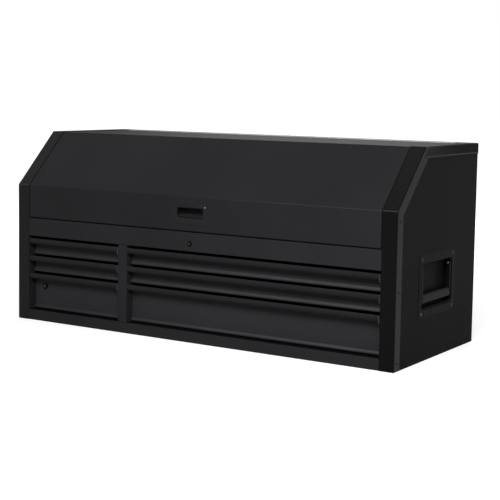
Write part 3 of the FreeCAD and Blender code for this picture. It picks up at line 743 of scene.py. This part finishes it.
def add_head(bm, place, direction, radius, height, turn):
    """Pan-head screw with a cross recess, seated at a place and facing a direction."""
    rings = [ring_about(place, direction, height * up, [radius * share] * HEAD_STEPS)
             for up, share in HEAD_DOME]
    recess = cross_radii(radius, turn)
    rings.append(ring_about(place, direction, height, recess))
    rings.append(ring_about(place, direction, height * RECESS_FLOOR, [0.72 * reach for reach in recess]))
    add_loft(bm, rings)


def make_heads(name, body, places, direction, radius, height, material, replaces=()):
    """Several screws as one piece, with a direction for all or a function of each place."""
    bm = bmesh.new()
    for number, place in enumerate(places):
        facing = direction(place) if callable(direction) else direction
        add_head(bm, place, facing, radius, height, 0.5 + 1.7 * number)
    finished(bm, name, material, body, replaces=replaces)


# Corner posts: a folded angle that follows the front's bend

OUTLINE = [(FRONT, POST_FOOT), (FRONT, BEND_Z), (RIDGE_Y, HEIGHT), (BACK, HEIGHT)]
RISE = (RIDGE_Y - FRONT) / (HEIGHT - BEND_Z)
TOP_UNDER = HEIGHT - POST_SHEET
POST_BEND = 4.5


def post_path(depth, start_z):
    """Side view of the post's line at a depth inside its outer face."""
    path = sideways(OUTLINE, depth)
    end_z = max(TOP_UNDER, HEIGHT - depth)
    end = (path[1][0] + (end_z - path[1][1]) * RISE, end_z)
    return rounded([(path[0][0], start_z), path[1], end], [max(POST_BEND - depth, 0.25)], 8)


def add_post(bm, section, start_z):
    """A section of (x, depth) points, swept along the post's line."""
    rings = [[(x, y, z) for y, z in post_path(depth, start_z)] for x, depth in section]
    add_loft(bm, [[rings[i][k] for i in range(len(section))] for k in range(len(rings[0]))])


def on_bend(normal):
    """Whether a post's face lies in the bend between its front and its slope."""
    return normal.y < -0.2 and 0.08 < normal.z < 0.64 and abs(normal.x) < 0.3


def make_posts():
    """Face and flange as one folded section, and the return beside the lid."""
    inner = OPENING + POST_SHEET
    face = rounded([(OPENING, POST_SHEET), (OPENING, 0), (HALF, 0), (HALF, POST_FLANGE),
                    (SIDE_OUTER, POST_FLANGE), (SIDE_OUTER, POST_SHEET), (OPENING, POST_SHEET)],
                   [1.1, 3.4, 0.7, 0.7, 1.6], 5)[:-1]
    turned = rounded([(OPENING, 0.8), (OPENING, POST_RETURN), (inner, POST_RETURN), (inner, 0.8),
                      (OPENING, 0.8)], [0.6, 0.6, 0.01], 3)[:-1]
    for side, name in SIDES:
        bm = bmesh.new()
        add_post(bm, face, POST_FOOT)
        add_post(bm, turned, LID_BOTTOM)
        to_side(bm, side)
        # The left post takes the lighter copy, as painted light.
        post = finished(bm, "post_" + name, paint_post if side > 0 else paint_post_left_lit, "case",
                        replaces=["corner_post_" + name])
        # The bends take the lighter paint as a painted highlight.
        accent(post, paint_bend_highlight, on_bend)


# The band stands proud of the posts by the lap, and starts this deep behind their front line
LAP = 0.3
LAP_DEPTH = 18.0


def make_top_rails():
    """Rails along the top of the sides, which lap over the posts, with a rolled lower edge on the band."""
    low = HEIGHT - TOP_BAND
    outer = HALF + LAP
    inner = OPENING + POST_SHEET
    flange_line = sideways(OUTLINE, LAP_DEPTH)
    band = rounded([(OPENING, TOP_UNDER), (OPENING, HEIGHT), (outer, HEIGHT), (outer, low), (SIDE_OUTER, low),
                    (SIDE_OUTER, TOP_UNDER), (OPENING, TOP_UNDER)], [1.2, 3.4, 0.7, 0.7, 1.6], 5)[:-1]
    turned = [(OPENING, HEIGHT - POST_RETURN), (OPENING, HEIGHT - 1), (inner, HEIGHT - 1),
              (inner, HEIGHT - POST_RETURN)]
    hem = [(HALF - 0.2, low + 8), (HALF + 0.5, low + 6.5), (HALF + 0.5, low + 3.5), (HALF - 0.6, low + 1.2),
           (HALF - 1.0, low + 8)]

    def front_y(x, z):
        """Where the rail starts: mitred on top, and along the post's flange on the end."""
        if z >= TOP_UNDER:
            return RIDGE_Y + (HEIGHT - z) * math.tan(math.radians(22.5))
        if x > SIDE_OUTER - 2:
            return flange_line[1][0] + (z - flange_line[1][1]) * RISE + (0 if x > HALF - 0.5 else 6)
        return RIDGE_Y + POST_SHEET

    def add_run(bm, section, start, end):
        add_loft(bm, [[(x, front_y(x, z) + start, z) for x, z in section],
                      [(x, BACK - end, z) for x, z in section]])

    for side, name in SIDES:
        bm = bmesh.new()
        add_run(bm, band, 0, 0)
        add_run(bm, turned, 0, 2.4)
        to_side(bm, side)
        finished(bm, "top_rail_cover_" + name, paint_band, "case", replaces=["top_rail_" + name])
        bm = bmesh.new()
        add_run(bm, hem, 1, 1)
        to_side(bm, side)
        finished(bm, "top_rail_hem_" + name, paint_post, "case", bevel=0.4)


# Drawer fronts: a hollow pull under a rolled lip, a flat panel and a bead along the foot

PANEL_BACK = FACE_Y + 32.0
END_WIDTH = 4.6
FOOT_DROP = 2.0
LIP_DROP = 5.5
LIP_HEIGHT = 20.5
END_GAP = 2.0


def drawer(bank, row):
    """Name of a drawer's body, with which the names of its nodes begin."""
    return bank + "_" + ROWS[row] + "_drawer"


def make_front(bank, row):
    """Front with a rounded lip over a hollow; shallow fronts curve out to a foot with a painted highlight."""
    foot = ROW_EDGES[row] - FOOT_DROP
    lip_top = ROW_EDGES[row + 1] - LIP_DROP
    lip_low = lip_top - LIP_HEIGHT
    body = drawer(bank, row)
    x0 = BANKS[bank][0] + END_GAP
    x1 = BANKS[bank][1] - END_GAP
    if row:
        foot_line = [(PANEL_BACK, foot + 21), (PANEL_BACK - 3, foot + 10), (PANEL_BACK - 9, foot + 4),
                     (PANEL_BACK - 9, foot + 1), (PANEL_BACK + 12, foot + 1)]
        foot_bends = [12.0, 8.0, 1.0, 1.0]
    else:
        foot_line = [(PANEL_BACK, foot + 10), (PANEL_BACK - 6, foot + 4), (PANEL_BACK - 6, foot + 1),
                     (PANEL_BACK + 12, foot + 1)]
        foot_bends = [3.0, 1.0, 1.0]
    path = [(FACE_Y + 12.5, lip_low), (FACE_Y, lip_low), (FACE_Y, lip_top), (PANEL_BACK, lip_top - 8)]
    outline = folded(path + foot_line, 1.0, [11.0, 3.5, 1.2] + foot_bends, 10)
    bm = bmesh.new()
    add_prism(bm, "YZ", outline, x0, x1 - END_WIDTH)
    finished(bm, body + "_face", paint_drawer, body, replaces=[body + "_front"])
    rear = PANEL_BACK - 0.5
    # The left end is painted dark as painted shade; the right end's glossier paint gives a painted highlight.
    jamb = rounded([(rear, lip_top - 9), (FACE_Y + 3.2, lip_top - 2.2), (FACE_Y + 2.2, lip_top - 3.2),
                    (FACE_Y + 2.2, lip_low - 6), (rear, lip_low - 6)], [0.6, 0.6, 9.0], 6)
    bm = bmesh.new()
    add_prism(bm, "YZ", jamb, x0 + 0.15, x0 + 3.0)
    finished(bm, body + "_left_end", paint_end_shade, body, bevel=0.5)
    end = rounded([(rear, lip_top - 8.5), (FACE_Y + 1, lip_top - 1), (FACE_Y + 0.2, lip_top - 6),
                   (FACE_Y + 2.5, lip_low - 8), (rear, lip_low - 12)], [2.2, 6.0, 9.0], 8)
    bm = bmesh.new()
    add_prism(bm, "YZ", end, x1 - END_WIDTH, x1 - 0.2)
    finished(bm, body + "_right_end", paint_end_highlight, body, bevel=2.0, segments=4)


# Recessed handles

def make_lid_pull():
    """Bezel and pocket of the lid's handle as one moulding."""
    bezel_x, bezel_z = (-62.0, 62.0), (372.0, 432.0)
    pocket_x, pocket_z = (-48.5, 48.5), (391.0, 422.0)
    back = FACE_Y + 22.0

    def pocket(more, up, radius):
        x, z = grown(pocket_x, pocket_z, more)
        return rect_ring(x, (z[0] + up[0], z[1] + up[1]), radius)

    bm = bmesh.new()
    add_rings(bm, "XZ", [
        (back + 1.5, pocket(0.5, (7, 6), 4.0)), (back + 0.5, pocket(1.5, (7, 6), 5.0)),
        (FACE_Y + 7, pocket(1.5, (2, 1), 5.0)), (FACE_Y, pocket(1.5, (0, 0), 5.0)),
        (FACE_Y, rect_ring(bezel_x, bezel_z, 6.0)), (FRONT + 0.7, rect_ring(bezel_x, bezel_z, 6.0)),
        (FRONT + 0.2, rect_ring(*grown(bezel_x, bezel_z, -0.5), 5.6)),
        (FRONT, rect_ring(*grown(bezel_x, bezel_z, -1.2), 5.0)),
        (FRONT, pocket(4.2, (0, 0), 6.5)), (FRONT + 0.5, pocket(2.6, (0, 0), 5.5)),
        (FRONT + 1.8, pocket(1.0, (0, 0), 4.5)), (FRONT + 4.0, pocket(0.1, (0, 0), 4.0)),
        (FACE_Y + 8, pocket(0, (2, 2.5), 4.0)), (back - 2.5, pocket(0, (6.3, 5.4), 4.0)),
        (back - 0.7, pocket(-0.8, (7, 6), 3.6)), (back, pocket(-2.6, (7, 6), 3.0))])
    finished(bm, "lid_handle", plastic_pull, "lid", replaces=["lid_pull"])


CUP_Y = (-103.0, 103.0)
CUP_Z = (157.0, 288.0)
BEZEL_Y = (-130.0, 130.0)
BEZEL_Z = (130.0, 318.0)
BEZEL_FACE = 710.4
BAIL_X = 701.4
BAIL_Z = 274.0


def make_cup(side, name):
    """Bezel and pocket of a side handle, with the bosses that its bail turns in."""
    def ring(more, radius):
        return rect_ring(*grown(CUP_Y, CUP_Z, more), radius)

    def edge(more, radius):
        return rect_ring(*grown(BEZEL_Y, BEZEL_Z, more), radius)

    bm = bmesh.new()
    add_rings(bm, "YZ", [
        (682.4, ring(0.2, 5.0)), (683.0, ring(1.1, 6.0)), (683.9, ring(1.5, 6.5)), (709.5, ring(1.5, 6.5)),
        (709.5, edge(0, 9.0)), (710.0, edge(0, 9.0)), (710.3, edge(-0.4, 8.6)), (BEZEL_FACE, edge(-1.0, 8.0)),
        (BEZEL_FACE, ring(10.0, 15.0)), (710.7, ring(9.0, 14.0)), (711.0, ring(7.6, 13.0)),
        (711.0, ring(6.6, 12.0)), (710.6, ring(5.0, 10.8)), (709.6, ring(3.3, 9.2)), (708.2, ring(1.9, 8.0)),
        (706.2, ring(0.8, 6.8)), (703.8, ring(0.2, 6.2)), (701.0, ring(0, 6.0)), (687.0, ring(0, 6.0)),
        (685.2, ring(-0.6, 5.6)), (684.2, ring(-1.8, 5.0)), (683.9, ring(-3.4, 4.0))])
    boss = [(0, 4.0), (8.2, 4.0), (8.2, 6.2), (8.8, 6.4), (9.4, 5.6), (9.7, 3.5)]
    for way in (-1, 1):
        add_turned(bm, (BAIL_X, way * 103.4, BAIL_Z), (0, -way, 0), boss, 24)
    to_side(bm, side)
    finished(bm, "side_cup_" + name, paint_cup, "case", replaces=["handle_cup_" + name])


BAIL_HALF = 7.0


def make_bail(side, name):
    """Drop handle: two flat arms with round tops and a full grip."""
    bm = bmesh.new()
    left, right = BAIL_X - BAIL_HALF, BAIL_X + BAIL_HALF
    arm = [(left, 186.0)] + arc((BAIL_X, BAIL_Z), BAIL_HALF, 180, 0, 12) + [(right, 186.0)]
    middle_z = 230.0
    for way in (-1, 1):
        rings = []
        for level, inset in ((95.7, 0.6), (96.3, 0.0), (101.9, 0.0), (102.5, 0.6)):
            rings.append((way * level, [
                (x - math.copysign(min(inset, abs(x - BAIL_X)), x - BAIL_X),
                 z - math.copysign(inset, z - middle_z)) for x, z in arm]))
        add_rings(bm, "XZ", rings)
    grip = []
    for level, less in ((-102.6, 1.6), (-102.0, 0.5), (-100.6, 0), (-92, 0), (-88, 0), (88, 0), (92, 0),
                        (100.6, 0), (102.0, 0.5), (102.6, 1.6)):
        x, z = grown((left, right), (171.5, 198.5), -less)
        grip.append((level, rect_ring(x, z, 6.2 - less, 6)))
    add_rings(bm, "XZ", grip)
    to_side(bm, side)
    finished(bm, "drop_handle_" + name, paint_handle, "side_bail_" + name, replaces=["side_bail_" + name])


# Locks

TURNS = [2 * math.pi * i / 48 for i in range(48)]


def circle(a, b, radius):
    """Circle round a centre, with a point for each of TURNS."""
    return [(a + radius * math.cos(t), b + radius * math.sin(t)) for t in TURNS]


def key_slot(a, b, half_a, half_b):
    """Rectangle round a centre, as points in the directions of TURNS."""
    ring = []
    for t in TURNS:
        reach = min(half_a / max(abs(math.cos(t)), TINY), half_b / max(abs(math.sin(t)), TINY))
        ring.append((a + reach * math.cos(t), b + reach * math.sin(t)))
    return ring


def add_lock(bm, x, z, y, flange):
    """Barrel with a chamfered rim, open in the middle for its plug."""
    face = y - flange
    profile = [(y + 22.0, 5.7), (y + 22.0, 7.6), (y, 7.6), (y, 9.3), (face + 0.5, 9.5), (face + 0.15, 9.3),
               (face, 8.8), (face, 7.4), (face + 0.35, 6.4), (face + 0.6, 5.7), (y + 20.0, 5.7)]
    add_rings(bm, "XZ", [(level, circle(x, z, radius)) for level, radius in profile], closed_ends=False)


def add_plug(bm, x, z, y, flange):
    """Turning plug with a chamfered face and a key slot."""
    face = y - flange
    profile = [(y + 23.0, 5.0), (y + 22.0, 5.5), (face + 1.0, 5.5), (face + 0.7, 5.4), (face + 0.5, 5.0),
               (face + 0.5, 3.2), (face + 0.75, 3.0)]
    slot = [(face + 0.75, 1.0, 2.4), (face + 0.95, 0.8, 2.3), (face + 6.0, 0.8, 2.3)]
    add_rings(bm, "XZ", [(level, circle(x, z, radius)) for level, radius in profile]
              + [(level, key_slot(x, z, half_x, half_z)) for level, half_x, half_z in slot])


def make_locks():
    """Shell and turning core of both locks."""
    for name, body, x, z, y, flange, plate in (
            ("fascia_lock", "case", 1.0, 312.0, FACE_Y, 1.5, chrome_fascia),
            ("drawer_lock", drawer("left", 0), -616.0, 115.0, -252.0, 4.0, chrome_drawer)):
        bm = bmesh.new()
        add_lock(bm, x, z, y, flange)
        finished(bm, name + "_shell", chrome_dark, body, replaces=[name + "_barrel"])
        bm = bmesh.new()
        add_plug(bm, x, z, y, flange)
        finished(bm, name + "_core", plate, name, replaces=[name + "_plug"])


# Lid's seams, hinge, slides and gas struts

LID_HALF = OPENING - 2.5
HINGE_Y = BACK - 38.5
KNUCKLE = 3.55
KNUCKLES = 41
KNUCKLE_GAP = 0.4
HINGE_Z = HEIGHT - KNUCKLE - 0.3
LEAF_SHEET = 1.4
LEAF_TOP = HINGE_Z - KNUCKLE - 0.6
HINGE_RIVETS = 14


def make_lid_seam_shadows():
    """Near-black strips on the lid's ends, as painted shadow in the seams beside the posts."""
    outer = sideways(OUTLINE, 2.6)
    inner = sideways(OUTLINE, 16.0)
    start_z = LID_BOTTOM + 2
    shape = [(outer[0][0], start_z), outer[1], outer[2], (HINGE_Y - 12, outer[2][1]),
             (HINGE_Y - 12, inner[2][1]), inner[2], inner[1], (inner[0][0], start_z)]
    for side, name in SIDES:
        bm = bmesh.new()
        add_prism(bm, "YZ", shape, LID_HALF - 0.2, LID_HALF + 1.3)
        to_side(bm, side)
        finished(bm, "lid_seam_shadow_" + name, paint_shadow, "lid")


def make_hinge():
    """Piano hinge with many short knuckles and countersunk rivets."""
    half = LID_HALF - 12
    pitch = 2 * half / KNUCKLES
    width = pitch - KNUCKLE_GAP
    tube = [(0, 1.9), (0, 3.3), (0.25, KNUCKLE), (width - 0.25, KNUCKLE), (width, 3.3), (width, 1.9),
            (0, 1.9)]
    rivet = [(-0.3, 3.0), (0.0, 3.0), (0.45, 2.2), (0.7, 1.0)]
    for own, name, y0, out in ((0, "case", HINGE_Y + KNUCKLE - LEAF_SHEET, -1),
                               (1, "lid", HINGE_Y - KNUCKLE, 1)):
        leaf_y = (y0, y0 + LEAF_SHEET)
        bm = bmesh.new()
        add_box(bm, (-half, half), leaf_y, (HINGE_Z - 20, LEAF_TOP))
        for i in range(own, KNUCKLES, 2):
            start = -half + i * pitch + KNUCKLE_GAP / 2
            add_box(bm, (start, start + width), leaf_y, (LEAF_TOP, HINGE_Z))
            add_turned(bm, (start, HINGE_Y, HINGE_Z), (1, 0, 0), tube, 20, closed_ends=False)
        finished(bm, "hinge_" + name + "_knuckles", zinc, name, replaces=["hinge_" + name + "_leaf"])
        face = leaf_y[0] if out < 0 else leaf_y[1]
        bm = bmesh.new()
        for i in range(HINGE_RIVETS):
            x = -half + 50 + i * (2 * half - 100) / (HINGE_RIVETS - 1)
            add_turned(bm, (x, face, HINGE_Z - 13.5), (0, out, 0), rivet, 16)
        finished(bm, "hinge_" + name + "_rivets", zinc, name)


SLIDE_FRONT = FACE_Y + 47.0
SLIDE_LENGTH = 480.0
SLIDE_RISE = 22.0
RIDER_OFFSET = 13.0
WALLS = {"left": (-664.5, -279.8), "right": (-248.2, 664.5)}


def add_channel(bm, web, way, flange, half, y, z):
    """Rolled channel along Y with its web at a wall and its flanges towards way."""
    path = [(web + way * flange, z - half), (web, z - half), (web, z + half), (web + way * flange, z + half)]
    if way < 0:
        path = path[::-1]
    add_prism(bm, "XZ", folded(path, CASE_SHEET, [1.6, 1.6], 5), *y)


def make_slides():
    """Fixed channels with their screws, and the channels that ride with the drawers."""
    fixed = bmesh.new()
    screws = bmesh.new()
    fixed_y = (SLIDE_FRONT, SLIDE_FRONT + SLIDE_LENGTH)
    rider_y = (SLIDE_FRONT, SLIDE_FRONT + SLIDE_LENGTH - 8)
    for bank, (left, right) in WALLS.items():
        for row in range(len(ROWS)):
            z = ROW_EDGES[row] + SLIDE_RISE
            rider = bmesh.new()
            for wall, way in ((left, 1), (right, -1)):
                add_channel(fixed, wall, way, 9.5, 18.0, fixed_y, z)
                add_channel(rider, wall + way * RIDER_OFFSET, -way, 8.0, 16.4, rider_y, z)
                for back in (40, 230, 430):
                    y = SLIDE_FRONT + back
                    add_head(screws, (wall + way * CASE_SHEET, y, z), (way, 0, 0), 3.6, 1.2, 0.4 + y)
            body = drawer(bank, row)
            finished(rider, body + "_runners", zinc, body, replaces=[body + "_slides"])
    finished(fixed, "fixed_slides", zinc, "case", replaces=["slide_outer_members"])
    finished(screws, "slide_screws", zinc, "case")


STRUT_X = 645.0
CASE_PIVOT = Vector((STRUT_X, 191.083, 410.892))
LID_PIVOT = Vector((STRUT_X, 20.068, 609.15))
STRUT_RUN = LID_PIVOT - CASE_PIVOT
STRUT_CLOSED = STRUT_RUN.length
STRUT_WAY = STRUT_RUN.normalized()
EYE_RADIUS = 8.3
EYE_HALF = 4.5


def add_eye(bm, pivot, sign):
    """End fitting: a round eye with a neck along the strut, open for its stud."""
    along = math.atan2(STRUT_WAY.z * sign, STRUT_WAY.y * sign)

    def outer(inset):
        ring = []
        for t in TURNS:
            turn = t - along
            neck = 0.0
            if math.cos(turn) > 0.3:
                neck = min(5.6 / max(abs(math.sin(turn)), TINY), 9.2 / math.cos(turn))
            reach = max(EYE_RADIUS, neck) - inset
            ring.append((pivot.y + reach * math.cos(t), pivot.z + reach * math.sin(t)))
        return ring

    hole = circle(pivot.y, pivot.z, 4.1)
    x0, x1 = STRUT_X - EYE_HALF, STRUT_X + EYE_HALF
    levels = [(x0, hole), (x0, outer(1.2)), (x0 + 0.8, outer(0)), (x1 - 0.8, outer(0)), (x1, outer(1.2)),
              (x1, hole), (x0, hole)]
    add_rings(bm, "YZ", levels, closed_ends=False)


def make_struts():
    """Tube, rod and two end fittings for each strut."""
    mouth = STRUT_CLOSED - 36.0
    tube_line = [(mouth, 4.25), (mouth, 5.2), (mouth - 0.8, 6.4), (mouth - 3.0, 7.6), (mouth - 5.5, 8.6),
                 (mouth - 8.0, 9.0), (14.0, 9.0), (11.5, 8.6), (9.6, 7.0), (8.9, 5.0), (8.9, 4.25),
                 (mouth, 4.25)]
    rod_line = [(60.0, 3.0), (60.6, 3.9), (STRUT_CLOSED - 12.0, 3.95), (STRUT_CLOSED - 8.2, 3.95)]
    for side, name in SIDES:
        tube, eye, rod, rod_eye = bmesh.new(), bmesh.new(), bmesh.new(), bmesh.new()
        add_turned(tube, CASE_PIVOT, STRUT_WAY, tube_line, 40, closed_ends=False)
        add_eye(eye, CASE_PIVOT, 1)
        add_turned(rod, CASE_PIVOT, STRUT_WAY, rod_line)
        add_eye(rod_eye, LID_PIVOT, -1)
        for bm in (tube, eye, rod, rod_eye):
            to_side(bm, side)
        body = "strut_cylinder_" + name
        finished(tube, "gas_tube_" + name, enamel_strut, body, replaces=[body])
        finished(eye, "gas_tube_eye_" + name, nylon, body)
        body = "strut_rod_" + name
        finished(rod, "gas_rod_" + name, rod_chrome, body, replaces=[body])
        finished(rod_eye, "gas_rod_eye_" + name, nylon, body)


# Back, liners and small fasteners

def make_back():
    """Pressed beads that stiffen the back, and rivets along its edges."""
    bm = bmesh.new()
    for x in (-560, -336, -112, 112, 336, 560):
        levels = [(283.0, 13.0), (283.35, 13.0), (283.9, 10.0), (284.25, 6.5), (284.35, 3.0)]
        add_rings(bm, "XZ", [(y, rect_ring((x - r, x + r), (70.0 - r, 550.0 + r), r - 0.05, 8))
                             for y, r in levels])
    finished(bm, "back_beads", paint_body, "case")
    bm = bmesh.new()
    places = [(side * 690.0, 40.0 + i * 92.0) for side in (-1, 1) for i in range(7)]
    places += [(-620.0 + i * 124.0, 612.0) for i in range(11)]
    for x, z in places:
        add_turned(bm, (x, BACK - 0.1, z), (0, 1, 0), [(0, 4.0), (0.25, 3.9), (0.6, 2.8), (0.8, 1.2)], 20)
    finished(bm, "back_rivets", paint_body, "case")


MAT_HEIGHT = 1.5


def make_mat(name, body, x, y, z):
    bm = bmesh.new()
    add_prism(bm, "XY", rect_ring(x, y, 6.0), z, z + MAT_HEIGHT)
    finished(bm, name, rubber, body, bevel=0.4)


def make_liners():
    """Rubber mats in the till and the drawers."""
    make_mat("till_mat", "case", (-655.0, 655.0), (-246.0, 276.0), 334.0)
    for bank, (left, right) in WALLS.items():
        for row in range(len(ROWS)):
            make_mat(bank + "_" + ROWS[row] + "_mat", drawer(bank, row), (left + 18.0, right - 18.0),
                     (-243.0, 236.0), ROW_EDGES[row] + 1.6)


def make_small_screws():
    """Screws of the posts' flanges and the lid handle, and the pins of the side handles."""
    places = [(side * HALF, -263.5, z) for side in (-1, 1) for z in (23.0, 226.0, 429.0)]
    make_heads("post_screws", "case", places, outward, 2.6, 0.6, paint_shadow)
    make_heads("lid_handle_screw", "lid", [(57.6, FRONT + 0.1, 427.6)], (0, -1, 0), 2.0, 0.5, pin_steel)
    for side, name in SIDES:
        bm = bmesh.new()
        for way in (-1, 1):
            add_turned(bm, (side * BAIL_X, way * 93.9, BAIL_Z), (0, -way, 0),
                       [(0, 2.9), (0.4, 2.8), (0.9, 2.0), (1.1, 0.9)], 20)
        finished(bm, "handle_pins_" + name, pin_steel, "case")


def make_handle_screws():
    places = [(side * BEZEL_FACE, y, z) for side in (-1, 1) for y in (-110.0, 110.0) for z in (143.0, 305.0)]
    make_heads("side_handle_screws", "case", places, outward, 4.6, 0.6, screw_steel,
               replaces=["handle_screws"])


make_posts()
make_top_rails()
make_lid_seam_shadows()
make_hinge()
make_slides()
make_struts()
make_back()
make_liners()
make_small_screws()
for bank in BANKS:
    for row in range(len(ROWS)):
        make_front(bank, row)
make_lid_pull()
for side, name in SIDES:
    make_cup(side, name)
    make_bail(side, name)
make_locks()
make_handle_screws()
